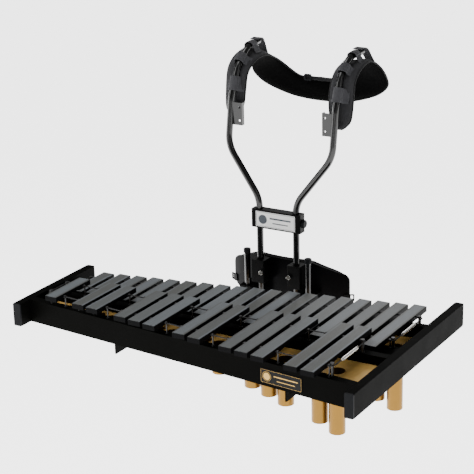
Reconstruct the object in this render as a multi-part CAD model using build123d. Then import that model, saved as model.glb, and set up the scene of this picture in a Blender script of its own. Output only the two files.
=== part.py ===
from build123d import *
import math
import os

# Marching xylophone of two and a half octaves on a tubular shoulder carrier.
# X runs along the keyboard towards the low notes, Y points at the player, Z is up.
# The origin is the middle of the belly pad, on the face that rests against the player.

# ---- Driving dimensions, in millimetres ----

# Keyboard: 19 natural bars behind, 13 accidental bars raised in front of them
natural_count = 19
bar_pitch = 44.5
bar_width = 33.0
bar_thickness = 13.0
bar_edge_chamfer = 0.7
natural_longest = 280.0
natural_shortest = 143.0
accidental_longest = 280.0
accidental_shortest = 140.0
natural_top_z = 10.0
accidental_raise = 33.0
rear_line_y = -130.0
rear_line_slope = 0.202
front_line_y = -534.0
front_line_slope = -0.131
node_share = 0.224
scoop_share = 0.36
scoop_depth = 4.0

# Suspension: one cord loop per row, posts between the bars, one spring at the low end
cord_radius = 1.4
cord_hole_clearance = 0.8
post_eye_clearance = 0.4
post_stem_radius = 1.6
post_eye_radius = 3.6
post_eye_width = 4.0
post_foot_radius = 4.2
post_foot_height = 2.0
post_eye_floor = 0.5
corner_pin_radius = 3.6
corner_pin_lip = 1.0
corner_pin_clearance = 0.2
corner_offset = 10.0
spring_length = 84.0
spring_radius = 4.0
spring_wire = 1.3

# Frame: aluminium box profiles between two end boards
end_gap = 49.0
profile_width = 22.0
profile_height = 58.0
profile_wall = 2.0
profile_corner = 1.0
low_rail_height = 32.0
board_front_overhang = 52.0
board_rear_overhang = 42.0
cap_thickness = 4.0
cap_plug_length = 8.0
cap_plug_clearance = 0.2
cap_corner = 3.0
deck_thickness = 3.0
brace_thickness = 4.0
brace_drop = 28.0
brace_setback = 6.0
low_brace_note = 2.5
high_brace_note = 13.5
gusset_size = 16.0
gusset_width = 14.0

# Resonators: quarter-wave tubes hanging from one plate per row
tube_radius = 19.05
tube_wall = 1.2
plate_thickness = 2.0
plate_depth = 22.0
plate_edge_gap = 1.0
plate_end_gap = 3.0
tube_fit_clearance = 0.05
end_correction = 6.0
speed_of_sound = 343000.0
low_note_hz = 523.25
stop_thickness = 2.5
hanger_width = 24.0
hanger_depth = 18.0
hanger_rise = 16.0
hanger_metal = 2.0

# Badge on the front rail and label on the crossbar
badge_length = 110.0
badge_height = 34.0
badge_thickness = 1.0
badge_x = 281.0
badge_below_middle = 4.0
label_length = 112.0
label_height = 40.0
label_thickness = 0.8

# Carrier: belly plate, tube sockets, J rods
belly_radius = 330.0
belly_half_width = 168.0
belly_top_z = 52.0
belly_low_z = -60.0
belly_end_top_z = 18.0
belly_flat_x = 78.0
belly_corner = 24.0
belly_pad_inset = 3.0
belly_thickness = 4.0
belly_pad_thickness = 10.0
shoulder_tube_radius = 8.5
shoulder_tube_wall = 1.5
slide_clearance = 0.06
socket_spacing = 104.0
socket_size = 36.0
socket_height = 60.0
socket_top_z = 50.0
tube_below_socket = 40.0
block_corner = 2.0
rod_radius = 7.5
rod_spacing = 176.0
rod_top_z = 72.0
rod_low_z = -112.0
rod_standoff = 24.0
rod_bend_radius = 22.0
rod_cap_radius = 9.3
rod_cap_height = 11.0
rod_cap_wall = 1.6
clamp_width = 34.0
clamp_height = 38.0
clamp_top_z = -24.0
clamp_front = 15.0
clamp_slit = 2.0
clamp_reach_back = 16.0
receiver_width = 28.0
receiver_depth = 26.0
receiver_clearance = 0.3
receiver_roof = 5.0
bolt_head_radius = 6.5
bolt_head_height = 5.0
bolt_shank_radius = 3.0
bolt_shank_length = 8.0
bolt_socket_radius = 3.2
bolt_socket_depth = 3.0
socket_bolt_inset = 12.0
clamp_bolt_offset = 12.0
plate_screw_radius = 2.5
plate_screw_length = 14.0
plate_screw_head = 4.5
plate_screw_head_height = 2.0
plate_screw_high_z = 40.0
plate_screw_low_z = 4.0
tab_width = 26.0
tab_height = 18.0
tab_metal = 3.0
tab_slot_width = 6.0
tab_slot_height = 12.0
tab_corner = 1.5
tab_mid_z = -40.0

# Shoulder frame
crossbar_length = 140.0
crossbar_height = 48.0
crossbar_depth = 26.0
crossbar_low_z = 137.0
crossbar_corner = 3.0
knob_radius = 10.5
knob_length = 8.0
knob_pin_radius = 4.0
knob_pin_length = 9.0
knob_gap = 0.4
knob_rim = 1.5
knob_notches = 8
knob_notch_radius = 2.2
knob_clearance = 0.05
bend_out_z = 210.0
shoulder_half = 147.0
shoulder_low_z = 335.0
shoulder_low_back = 13.0
chest_back_and_rise = (33.0, 122.0)
front_back_and_rise = (66.0, 198.0)
crown_back_and_rise = (112.0, 232.0)
end_back_and_rise = (172.0, 236.0)
crown_inset = 3.0
end_spread = 1.0
shoulder_bend_radii = (75.0, 85.0, 90.0, 70.0, 70.0)
bracket_width = 34.0
bracket_height = 58.0
bracket_metal = 2.5
bracket_flange = 10.0
bracket_mid_z = 415.0
bracket_behind_tube = 26.0
bracket_hole_inset = 7.5
bracket_hole_radius = 3.0
bracket_hole_spacing = 34.0

# Shoulder pad and its webbing loops
pad_thickness = 14.0
pad_half_width = 30.0
pad_standoff = 12.0
pad_tip_z = 404.0
pad_crown_run = 30.0
pad_crown_fall = 6.0
pad_end_y = 176.0
pad_end_fall = 32.0
yoke_thickness = 14.0
yoke_low_z = 416.0
yoke_neck_z = 474.0
yoke_wing_x = 196.0
yoke_wing_z = 506.0
yoke_rear_y = 212.0
yoke_wrap_x = 150.0
yoke_wrap = 10.0
yoke_wing_wrap = 34.0
yoke_flat_x = 60.0
loop_length = 28.0
loop_wall = 2.5
loop_clearance = 2.0
loop_places = (0.80, 0.895, 0.97)

# How far a cutting tool runs past the solid it cuts
overcut = 1.0

# ---- Values worked out from the driving dimensions ----

belly_front_y = -(belly_thickness + belly_pad_thickness)
belly_centre_y = belly_front_y + belly_radius
socket_y = belly_front_y - socket_size / 2
natural_mid_z = natural_top_z - bar_thickness / 2
accidental_top_z = natural_top_z + accidental_raise
accidental_mid_z = accidental_top_z - bar_thickness / 2
frame_low_z = natural_top_z - profile_height
low_rail_top_z = frame_low_z + low_rail_height
accidental_plate_z = natural_top_z - plate_depth
natural_plate_z = accidental_plate_z - accidental_raise
keyboard_half = (natural_count - 1) / 2 * bar_pitch
inner_x = keyboard_half + bar_width / 2 + end_gap
sharp_after = (0, 1, 3, 4, 5)
scale_semitones = (0, 2, 4, 5, 7, 9, 11)
accidental_notes = [n + 0.5 for n in range(natural_count - 1) if n % 7 in sharp_after]
accidental_half = keyboard_half - bar_pitch / 2


def note_x(note):
    """Place of a note along the keyboard, counted in naturals up from the low C."""
    return keyboard_half - note * bar_pitch


def note_hz(note):
    """Equal-tempered pitch of a natural, or of the accidental half a step above it."""
    natural = math.floor(note)
    semitones = 12 * (natural // 7) + scale_semitones[natural % 7] + (1 if note != natural else 0)
    return low_note_hz * 2 ** (semitones / 12)


def natural_length(x):
    """Natural bars shorten evenly from the low end to the high end."""
    growth = (natural_longest - natural_shortest) / (2 * keyboard_half)
    return (natural_longest + natural_shortest) / 2 + growth * x


def accidental_length(x):
    """Accidental bars shorten evenly too."""
    growth = (accidental_longest - accidental_shortest) / (2 * accidental_half)
    return (accidental_longest + accidental_shortest) / 2 + growth * x


def natural_rear(x):
    """Line of the naturals' rear ends."""
    return rear_line_y + rear_line_slope * x


def natural_rear_node(x):
    """Rear nodal line of the naturals, where a bar doesn't move."""
    return natural_rear(x) - node_share * natural_length(x)


def natural_front_node(x):
    """Front nodal line of the naturals."""
    return natural_rear(x) - (1 - node_share) * natural_length(x)


def accidental_front(x):
    """Line of the accidentals' front ends."""
    return front_line_y + front_line_slope * x


def accidental_front_node(x):
    """Front nodal line of the accidentals."""
    return accidental_front(x) + node_share * accidental_length(x)


def accidental_rear_node(x):
    """Rear nodal line of the accidentals."""
    return accidental_front(x) + (1 - node_share) * accidental_length(x)


def slope_of(line):
    """Rise of a nodal line for each millimetre along X."""
    return line(1.0) - line(0.0)


def save(name, *solids):
    """Write one node, a single solid or a group of separate ones."""
    shape = solids[0] if len(solids) == 1 else Compound(children=list(solids))
    shape.label = name
    export_step(shape, f"parts/{name}.step")


def prism(points, z_low, z_top):
    """Closed outline in plan, carried straight up."""
    face = make_face(Polyline(*points, close=True))
    return Pos(0, 0, z_low) * extrude(face, z_top - z_low, dir=(0, 0, 1))


def strip(line_front, line_rear, x_low, x_high, z_low, z_top):
    """Flat piece between two slanting lines."""
    points = [
        (x_low, line_front(x_low)),
        (x_high, line_front(x_high)),
        (x_high, line_rear(x_high)),
        (x_low, line_rear(x_low)),
    ]
    return prism(points, z_low, z_top)


def shifted(line, offset):
    """The same line, moved along Y."""
    return lambda x: line(x) + offset


def box_rail(line, height, z_top):
    """Hollow rectangular rail under a nodal line, cut to fit between the end boards."""
    half = profile_width / 2
    outer = strip(shifted(line, -half), shifted(line, half), -inner_x, inner_x, z_top - height, z_top)
    core = half - profile_wall
    hollow = strip(shifted(line, -core), shifted(line, core), -inner_x, inner_x,
                   z_top - height + profile_wall, z_top - profile_wall)
    return outer - hollow


def rod_between(start, end, radius):
    """Straight round rod from one point to another."""
    direction = Vector(*end) - Vector(*start)
    return extrude(Plane(origin=start, z_dir=direction) * Circle(radius), direction.length)


# ---- Bars ----

def bar(x, y_front, y_rear, z_top):
    """One bar: chamfered top edges and an arched underside between the nodes."""
    length = y_rear - y_front
    middle = (y_front + y_rear) / 2
    body = Pos(x, middle, z_top - bar_thickness / 2) * Box(bar_width, length, bar_thickness)
    body = chamfer(body.edges().group_by(Axis.Z)[-1], bar_edge_chamfer)
    half_scoop = scoop_share * length / 2
    scoop_radius = (half_scoop ** 2 + scoop_depth ** 2) / (2 * scoop_depth)
    scoop = Cylinder(scoop_radius, bar_width + 2 * overcut, rotation=(0, 90, 0))
    return body - Pos(x, middle, z_top - bar_thickness + scoop_depth - scoop_radius) * scoop


def cord_drill(line, z):
    """Hole for the cord, drilled through a whole row along its nodal line."""
    reach = inner_x
    return rod_between((-reach, line(-reach), z), (reach, line(reach), z), cord_radius + cord_hole_clearance)


def octave_group(note):
    """Bars are made in sets: C to E, then F to B, in each octave."""
    octave = int(note) // 7
    return 2 * octave + (0 if note % 7 < 3 else 1)


def bar_rows():
    """Both rows of bars, one node for each set."""
    rows = {}
    drills = [cord_drill(natural_front_node, natural_mid_z), cord_drill(natural_rear_node, natural_mid_z)]
    for note in range(natural_count):
        x = note_x(note)
        solid = bar(x, natural_rear(x) - natural_length(x), natural_rear(x), natural_top_z)
        solid = solid - drills[0] - drills[1]
        rows.setdefault(f"natural_bars_{octave_group(note) + 1}", []).append(solid)
    drills = [cord_drill(accidental_front_node, accidental_mid_z),
              cord_drill(accidental_rear_node, accidental_mid_z)]
    for note in accidental_notes:
        x = note_x(note)
        solid = bar(x, accidental_front(x), accidental_front(x) + accidental_length(x), accidental_top_z)
        solid = solid - drills[0] - drills[1]
        rows.setdefault(f"accidental_bars_{octave_group(note) + 1}", []).append(solid)
    return rows


# ---- Cords, posts and springs ----

def post(x, line, z_foot, z_cord):
    """Plastic post with an eye that holds the cord between two bars."""
    turn = math.degrees(math.atan(slope_of(line)))
    y = line(x)
    eye = Pos(x, y, z_cord) * Rot(0, 0, turn) * Cylinder(post_eye_radius, post_eye_width, rotation=(0, 90, 0))
    hole_radius = cord_radius + post_eye_clearance
    hole = Pos(x, y, z_cord) * Rot(0, 0, turn) * Cylinder(hole_radius, 2 * post_eye_width, rotation=(0, 90, 0))
    stem = rod_between((x, y, z_foot), (x, y, z_cord - hole_radius - post_eye_floor),
                       post_stem_radius)
    foot = rod_between((x, y, z_foot), (x, y, z_foot + post_foot_height), post_foot_radius)
    return foot + stem + (eye - hole)


def corner_pin(x_corner, line, inward, z_foot, z_cord):
    """Pin that the cord goes round at the end of a row, inside the loop."""
    radius = bend_radius
    x = x_corner - math.copysign(radius, x_corner)
    y = line(x) + inward * radius * math.hypot(1, slope_of(line))
    pin = rod_between((x, y, z_foot), (x, y, z_cord + 3 * cord_radius), corner_pin_radius)
    head = rod_between((x, y, z_cord + 3 * cord_radius), (x, y, z_cord + 4 * cord_radius), corner_pin_radius + corner_pin_lip)
    foot = rod_between((x, y, z_foot), (x, y, z_foot + post_foot_height), corner_pin_radius + corner_pin_lip)
    return pin + head + foot


bend_radius = corner_pin_radius + cord_radius + corner_pin_clearance


def cord_loop(x_corner, front, rear, z):
    """Cord of one row: from the spring, along both nodal lines, back to the spring."""
    spring_mid = (front(x_corner) + rear(x_corner)) / 2
    reach = spring_length / 2
    points = [
        (x_corner, spring_mid - reach, z),
        (x_corner, front(x_corner), z),
        (-x_corner, front(-x_corner), z),
        (-x_corner, rear(-x_corner), z),
        (x_corner, rear(x_corner), z),
        (x_corner, spring_mid + reach, z),
    ]
    path = FilletPolyline(*points, radius=bend_radius)
    cord = sweep(Plane(origin=path @ 0, z_dir=path % 0) * Circle(cord_radius), path=path)
    print("cord", round(path.length), "mm, volume ratio",
          round(cord.volume / (math.pi * cord_radius ** 2 * path.length), 4))
    return cord


def row_spring(x, front, rear, z):
    """Close-wound extension spring with an eye at each end, as its outer envelope."""
    middle = (front(x) + rear(x)) / 2
    eye_radius = spring_radius - spring_wire / 2
    reach = spring_length / 2 - 2 * eye_radius - spring_wire
    body = rod_between((x, middle - reach, z), (x, middle + reach, z), spring_radius)
    bore = rod_between((x, middle - reach, z), (x, middle + reach, z), spring_radius - spring_wire)
    parts = body - bore
    for side in (-1, 1):
        eye = Torus(eye_radius, spring_wire / 2, rotation=(0, 90, 0))
        parts = parts + Pos(x, middle + side * (reach + eye_radius - spring_wire / 4), z) * eye
    return parts


# ---- Frame ----

def board_front(x):
    """Front ends of the end boards, ahead of the front rail."""
    return accidental_front_node(x) - board_front_overhang


def board_rear(x):
    """Rear ends of the end boards, behind the naturals' ends."""
    return natural_rear(x) + board_rear_overhang


def end_board(side):
    """Hollow box profile along Y, closed by a cap at each end."""
    x = side * (inner_x + profile_width / 2)
    y_front = board_front(x) + cap_thickness
    y_rear = board_rear(x) - cap_thickness
    middle = (y_front + y_rear) / 2
    z = natural_top_z - profile_height / 2
    outer = Box(profile_width, y_rear - y_front, profile_height)
    outer = fillet(outer.edges().filter_by(Axis.Y), profile_corner)
    hollow = Box(profile_width - 2 * profile_wall, y_rear - y_front + 2 * overcut, profile_height - 2 * profile_wall)
    return Pos(x, middle, z) * (outer - hollow)


def board_cap(side, y_face, outward):
    """Moulded cap with rounded corners and a plug that pushes into the profile."""
    x = side * (inner_x + profile_width / 2)
    z = natural_top_z - profile_height / 2
    plate = Box(profile_width, cap_thickness, profile_height)
    plate = fillet(plate.edges().filter_by(Axis.Y), cap_corner)
    inset = 2 * (profile_wall + cap_plug_clearance)
    plug = Box(profile_width - inset, cap_plug_length, profile_height - inset)
    plug = Pos(0, -outward * (cap_thickness + cap_plug_length) / 2, 0) * plug
    return Pos(x, y_face - outward * cap_thickness / 2, z) * (plate + plug)


def brace(note):
    """Flat bar on edge from the front rail to the rear rail, in the gap between two tubes."""
    x = note_x(note)
    y_front = accidental_front_node(x) - profile_width / 2 + brace_setback
    y_rear = natural_rear_node(x) + profile_width / 2
    low = frame_low_z - brace_drop
    return Pos(x, (y_front + y_rear) / 2, (low + frame_low_z) / 2) * Box(
        brace_thickness, y_rear - y_front, brace_drop)


def gusset(side, line, z_top):
    """Triangular corner piece between a low rail's top and the end board."""
    x_wall = side * inner_x
    y = line(x_wall - side * gusset_size / 2)
    plane = Plane(origin=(0, y + gusset_width / 2, 0), x_dir=(1, 0, 0), z_dir=(0, -1, 0))
    outline = Polyline((x_wall, z_top), (x_wall - side * gusset_size, z_top),
                       (x_wall, z_top + gusset_size), close=True)
    return extrude(plane * make_face(outline), gusset_width, dir=(0, -1, 0))


# ---- Resonators ----

def row_middle(note, sharp):
    """Middle of a bar, where its tube hangs."""
    x = note_x(note)
    if sharp:
        return x, accidental_front(x) + accidental_length(x) / 2
    return x, natural_rear(x) - natural_length(x) / 2


def tube_depth(note):
    """A quarter of the note's wavelength in air, less the end correction."""
    return speed_of_sound / (4 * note_hz(note)) - end_correction


def resonator_bank(notes, sharp, line_front, line_rear, z_plate):
    """One row's plate, its tubes and the stops that close them."""
    plate = strip(shifted(line_front, profile_width / 2 + plate_edge_gap),
                  shifted(line_rear, -profile_width / 2 - plate_edge_gap),
                  -inner_x + plate_end_gap, inner_x - plate_end_gap,
                  z_plate - plate_thickness, z_plate)
    tubes = []
    stops = []
    for note in notes:
        x, y = row_middle(note, sharp)
        low = z_plate - tube_depth(note)
        hole = rod_between((x, y, z_plate - 2 * plate_thickness), (x, y, z_plate + overcut),
                           tube_radius + tube_fit_clearance)
        plate = plate - hole
        outer = rod_between((x, y, low), (x, y, z_plate), tube_radius)
        inner_radius = tube_radius - tube_wall
        tubes.append(outer - rod_between((x, y, low - overcut), (x, y, z_plate + overcut),
                                          inner_radius))
        stops.append(rod_between((x, y, low), (x, y, low + stop_thickness), inner_radius - tube_fit_clearance))
    return plate, tubes, stops


def hanger(side, y, z_plate):
    """Angle bracket: a leg against the end board, and a foot under the end of a resonator plate."""
    x_wall = side * inner_x
    low = z_plate - plate_thickness - hanger_metal
    foot = Pos(x_wall - side * hanger_depth / 2, y, low + hanger_metal / 2) * Box(
        hanger_depth, hanger_width, hanger_metal)
    leg = Pos(x_wall - side * hanger_metal / 2, y, low + hanger_rise / 2) * Box(
        hanger_metal, hanger_width, hanger_rise)
    return foot + leg


# ---- Belly plate, sockets and J rods ----

def belly_shell(inner, outer, trim):
    """Curved sheet between two radii; its outline is flat-topped and falls away towards both ends."""
    reach = belly_top_z - belly_low_z
    ring = Cylinder(outer, 2 * reach) - Cylinder(inner, 2 * reach + 2 * overcut)
    half = belly_half_width - trim
    top, low, end = belly_top_z - trim, belly_low_z + trim, belly_end_top_z - trim
    outline = make_face(Polyline((-half, low), (half, low), (half, end), (belly_flat_x, top),
                                 (-belly_flat_x, top), (-half, end), close=True))
    outline = fillet(outline.vertices(), belly_corner - trim)
    plane = Plane(origin=(0, 0, 0), x_dir=(1, 0, 0), z_dir=(0, -1, 0))
    window = extrude(plane * outline, 2 * belly_radius, dir=(0, -1, 0))
    return (Pos(0, belly_centre_y, 0) * ring) & (Pos(0, belly_centre_y, 0) * window)


belly_cylinder = Pos(0, belly_centre_y, 0) * Cylinder(belly_radius, 4 * belly_top_z)


def plate_screws():
    """Screws through the belly plate into the sockets and the rod clamps."""
    screws = []
    places = [(side * socket_spacing / 2, z) for side in (-1, 1)
              for z in (plate_screw_low_z, plate_screw_high_z)]
    places += [(side * rod_spacing / 2, clamp_top_z - clamp_height / 2) for side in (-1, 1)]
    for x, z in places:
        y_inner = belly_centre_y - math.sqrt((belly_radius - belly_thickness) ** 2 - x ** 2)
        shank = rod_between((x, y_inner - plate_screw_length, z), (x, y_inner, z), plate_screw_radius)
        head = rod_between((x, y_inner, z), (x, y_inner + plate_screw_head_height, z), plate_screw_head)
        screws.append(shank + head)
    return screws


def tube_socket(side):
    """Block on the belly plate with a bore for the shoulder tube."""
    x = side * socket_spacing / 2
    z = socket_top_z - socket_height / 2
    depth = socket_size + 2 * belly_thickness
    block = Box(socket_size, depth, socket_height)
    block = fillet(block.edges().filter_by(Axis.Z), block_corner)
    block = Pos(x, socket_y - socket_size / 2 + depth / 2, z) * block
    bore = Pos(x, socket_y, z) * Cylinder(shoulder_tube_radius + slide_clearance, socket_height + 2 * overcut)
    return block - bore - belly_cylinder


rod_y = belly_front_y - rod_standoff


def rod_clamp(side):
    """Block on the belly plate that grips a J rod, with a slit for the clamp bolt."""
    x = side * rod_spacing / 2
    z = clamp_top_z - clamp_height / 2
    y_front = rod_y - clamp_front
    depth = belly_front_y + clamp_reach_back - y_front
    block = Box(clamp_width, depth, clamp_height)
    block = fillet(block.edges().filter_by(Axis.Z), block_corner)
    block = Pos(x, y_front + depth / 2, z) * block
    bore = Pos(x, rod_y, z) * Cylinder(rod_radius + slide_clearance, clamp_height + 2 * overcut)
    slit = Pos(x, y_front + clamp_front / 2, z) * Box(clamp_slit, clamp_front, clamp_height + 2 * overcut)
    return block - bore - slit - belly_cylinder


def receiver_y(side):
    """Receivers stand against the rear face of the rear rail."""
    x = side * rod_spacing / 2
    corner = natural_rear_node(x + receiver_width / 2) + profile_width / 2
    return corner + receiver_depth / 2


def hook_receiver(side):
    """Block under the keyboard's rear edge that drops over a J rod's tip."""
    x = side * rod_spacing / 2
    y = receiver_y(side)
    z = low_rail_top_z - low_rail_height / 2
    front_wall = lambda at: natural_rear_node(at) + profile_width / 2
    back = y + receiver_depth / 2
    block = strip(front_wall, lambda at: back, x - receiver_width / 2, x + receiver_width / 2,
                  frame_low_z, low_rail_top_z)
    bore = rod_between((x, y, frame_low_z - overcut), (x, y, low_rail_top_z - receiver_roof),
                       rod_radius + receiver_clearance)
    return block - bore


def j_rod(side):
    """Round rod: down through its clamp, forward under the keyboard and up into the receiver."""
    x = side * rod_spacing / 2
    y_tip = receiver_y(side)
    tip = low_rail_top_z - receiver_roof
    points = [(x, rod_y, rod_top_z), (x, rod_y, rod_low_z), (x, y_tip, rod_low_z), (x, y_tip, tip)]
    path = FilletPolyline(*points, radius=rod_bend_radius)
    return sweep(Plane(origin=path @ 0, z_dir=path % 0) * Circle(rod_radius), path=path)


def rod_cap(side):
    """Moulded cap with a domed top, pushed over a rod's upper end."""
    x = side * rod_spacing / 2
    cap = Pos(x, rod_y, rod_top_z + rod_cap_wall - rod_cap_height / 2) * Cylinder(rod_cap_radius, rod_cap_height)
    cap = fillet(cap.edges().group_by(Axis.Z)[-1], rod_cap_wall)
    return cap - rod_between((x, rod_y, rod_top_z - rod_cap_height - overcut), (x, rod_y, rod_top_z),
                             rod_radius + tube_fit_clearance)


def front_bolt(x, y, z):
    """Socket-head bolt with its head towards the front."""
    head = rod_between((x, y, z), (x, y - bolt_head_height, z), bolt_head_radius)
    shank = rod_between((x, y, z), (x, y + bolt_shank_length, z), bolt_shank_radius)
    plane = Plane(origin=(x, y - bolt_head_height, z), x_dir=(1, 0, 0), z_dir=(0, -1, 0))
    recess = extrude(plane * RegularPolygon(bolt_socket_radius, 6), -bolt_socket_depth)
    return head + shank - recess


def strap_tab(side):
    """Slotted tab on the front of the belly plate's end, for a waist strap."""
    turn = math.degrees(math.asin(belly_half_width / belly_radius))
    tab = Box(tab_width, tab_metal, tab_height)
    tab = fillet(tab.edges().filter_by(Axis.Y), tab_corner)
    slot = Pos(side * tab_width / 4, 0, 0) * Box(tab_slot_width, 2 * tab_metal, tab_slot_height)
    place = Pos(0, belly_centre_y, 0) * Rot(0, 0, side * turn) * Pos(
        0, -belly_radius - tab_metal / 2, tab_mid_z)
    return place * (tab - slot)


# ---- Shoulder frame ----

def shoulder_points(side):
    """Route of a shoulder tube: up from the socket, out, up the chest and over the shoulder."""
    near = side * socket_spacing / 2
    wide = side * shoulder_half
    route = [
        (near, socket_y, socket_top_z - socket_height - tube_below_socket),
        (near, socket_y, bend_out_z),
        (wide, socket_y + shoulder_low_back, shoulder_low_z),
    ]
    stretches = [(wide, chest_back_and_rise), (wide - side * crown_inset, front_back_and_rise),
                 (wide - side * crown_inset, crown_back_and_rise), (wide + side * end_spread, end_back_and_rise)]
    for x, (back, rise) in stretches:
        route.append((x, socket_y + back, shoulder_low_z + rise))
    return route


def shoulder_path(side):
    """Tangent arcs between the straight stretches."""
    return FilletPolyline(*shoulder_points(side), radius=shoulder_bend_radii)


def shoulder_tube(side, radius):
    """Bent tube of the given outer radius."""
    path = shoulder_path(side)
    return sweep(Plane(origin=path @ 0, z_dir=path % 0) * Circle(radius), path=path)


def crossbar():
    """Block that ties both shoulder tubes together above the sockets."""
    z = crossbar_low_z + crossbar_height / 2
    block = Box(crossbar_length, crossbar_depth, crossbar_height)
    block = fillet(block.edges().filter_by(Axis.Z), crossbar_corner)
    block = Pos(0, socket_y, z) * block
    for side in (-1, 1):
        block = block - Pos(side * socket_spacing / 2, socket_y, z) * Cylinder(
            shoulder_tube_radius + tube_fit_clearance, crossbar_height + 2 * overcut)
    end = crossbar_length / 2
    pin_hole = rod_between((end - knob_pin_length - overcut, socket_y, z), (end + overcut, socket_y, z),
                           knob_pin_radius + knob_clearance)
    return block - pin_hole


def crossbar_knob():
    """Round clamp knob at the crossbar's end, with a plain pin."""
    z = crossbar_low_z + crossbar_height / 2
    end = crossbar_length / 2
    start = end + knob_gap
    grip = rod_between((start, socket_y, z), (start + knob_length, socket_y, z), knob_radius)
    grip = chamfer(grip.edges().group_by(Axis.X)[-1], knob_rim)
    notch_circle = knob_radius + knob_notch_radius / 2
    for turn in range(knob_notches):
        angle = 2 * math.pi * turn / knob_notches
        y = socket_y + notch_circle * math.cos(angle)
        notch_z = z + notch_circle * math.sin(angle)
        grip = grip - rod_between((end, y, notch_z), (start + knob_length + overcut, y, notch_z),
                                  knob_notch_radius)
    return grip + rod_between((end - knob_pin_length, socket_y, z), (start + overcut, socket_y, z),
                              knob_pin_radius)


def accessory_bracket(side):
    """Angle plate with two holes, welded to the inner side of a shoulder tube."""
    tube = shoulder_tube(side, shoulder_tube_radius)
    inner_edge = side * (shoulder_half - bracket_width)
    y = bracket_y
    plate = Pos(side * (shoulder_half - bracket_width / 2), y, bracket_mid_z) * Box(
        bracket_width, bracket_metal, bracket_height)
    flange = Pos(inner_edge + side * bracket_metal / 2, y + bracket_flange / 2, bracket_mid_z) * Box(
        bracket_metal, bracket_flange, bracket_height)
    holes = [Pos(bracket_hole_x * side, y, bracket_mid_z + up * bracket_hole_spacing / 2) *
             Cylinder(bracket_hole_radius, 3 * bracket_metal, rotation=(90, 0, 0)) for up in (-1, 1)]
    return plate + flange - holes[0] - holes[1] - tube


bracket_y = socket_y + bracket_behind_tube
bracket_hole_x = shoulder_half - bracket_width + bracket_hole_inset


# ---- Shoulder pad and loops ----

def pad_profile():
    """Side view of a shoulder band: the tube's route moved inwards by the tube, the gap and half the pad."""
    route = [(point[1], point[2]) for point in shoulder_points(1)[2:]]
    gap = shoulder_tube_radius + pad_standoff + pad_thickness / 2
    moved = []
    for (y_a, z_a), (y_b, z_b) in zip(route, route[1:]):
        run = math.hypot(y_b - y_a, z_b - z_a)
        across = (gap * (z_b - z_a) / run, -gap * (y_b - y_a) / run)
        moved.append(((y_a + y_b) / 2 + across[0], (z_a + z_b) / 2 + across[1]))
    tip = (moved[0][0], pad_tip_z)
    crown = (moved[-1][0] + pad_crown_run, moved[-1][1] - pad_crown_fall)
    return [tip] + moved + [crown, (pad_end_y, moved[-1][1] - pad_end_fall)]


def pad_band(points, x_low, x_high):
    """Padded band of even thickness: a side profile carried across the shoulder."""
    plane = Plane(origin=(x_low, 0, 0), x_dir=(0, 1, 0), z_dir=(1, 0, 0))
    face = make_face(offset(Polyline(*points), pad_thickness / 2))
    return extrude(plane * face, x_high - x_low, dir=(1, 0, 0))


def neck_yoke():
    """Yoke behind the neck: a curved band, cut to a horseshoe's outline seen from the front."""
    rear = yoke_rear_y - yoke_thickness / 2
    right = [(yoke_flat_x, rear), (yoke_wrap_x, rear - yoke_wrap), (yoke_wing_x, rear - yoke_wing_wrap)]
    plan = [(-x, y) for x, y in reversed(right)] + right
    band = make_face(offset(Polyline(*plan), yoke_thickness / 2))
    band = Pos(0, 0, yoke_low_z) * extrude(band, yoke_wing_z - yoke_low_z, dir=(0, 0, 1))
    rise = yoke_wing_z - yoke_low_z
    shoulder_x = yoke_wing_x / 2
    half = [(0, yoke_low_z), (shoulder_x, yoke_low_z + 0.1 * rise), (0.82 * yoke_wing_x, yoke_low_z + 0.38 * rise),
            (yoke_wing_x, yoke_low_z + 0.76 * rise), (0.97 * yoke_wing_x, yoke_wing_z),
            (0.71 * yoke_wing_x, yoke_wing_z), (shoulder_x, (yoke_neck_z + yoke_wing_z) / 2),
            (0.3 * yoke_wing_x, yoke_neck_z + 2 * overcut), (0, yoke_neck_z)]
    outline = half + [(-x, z) for x, z in reversed(half[1:-1])]
    plane = Plane(origin=(0, 0, 0), x_dir=(1, 0, 0), z_dir=(0, -1, 0))
    window = extrude(plane * make_face(Polyline(*outline, close=True)), 2 * yoke_rear_y, dir=(0, 1, 0))
    return band & window


def shoulder_pads():
    """Horseshoe pad: a band over each shoulder and a yoke behind the neck."""
    bands = []
    for side in (-1, 1):
        middle = side * (shoulder_half - 2)
        bands.append(pad_band(pad_profile(), middle - pad_half_width, middle + pad_half_width))
    return bands + [neck_yoke()]


def pad_loops(side):
    """Webbing loops round the tube, as short sleeves along its route."""
    path = shoulder_path(side)
    inner_radius = shoulder_tube_radius + loop_clearance
    loops = []
    for share in loop_places:
        along = path % share
        start = path @ share - along * (loop_length / 2)
        plane = Plane(origin=start, z_dir=along)
        outer = extrude(plane * Circle(inner_radius + loop_wall), loop_length)
        loops.append(outer - extrude(plane * Circle(inner_radius), loop_length))
    return loops


# ---- Build ----

os.makedirs("parts", exist_ok=True)

for node, bars in bar_rows().items():
    save(node, *bars)

natural_corner = keyboard_half + bar_pitch / 2 + corner_offset
accidental_corner = accidental_half + bar_pitch / 2 + corner_offset
save("natural_cord", cord_loop(natural_corner, natural_front_node, natural_rear_node, natural_mid_z))
save("accidental_cord", cord_loop(accidental_corner, accidental_front_node, accidental_rear_node,
                                  accidental_mid_z))
save("natural_spring", row_spring(natural_corner, natural_front_node, natural_rear_node, natural_mid_z))
save("accidental_spring", row_spring(accidental_corner, accidental_front_node, accidental_rear_node,
                                     accidental_mid_z))

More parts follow.
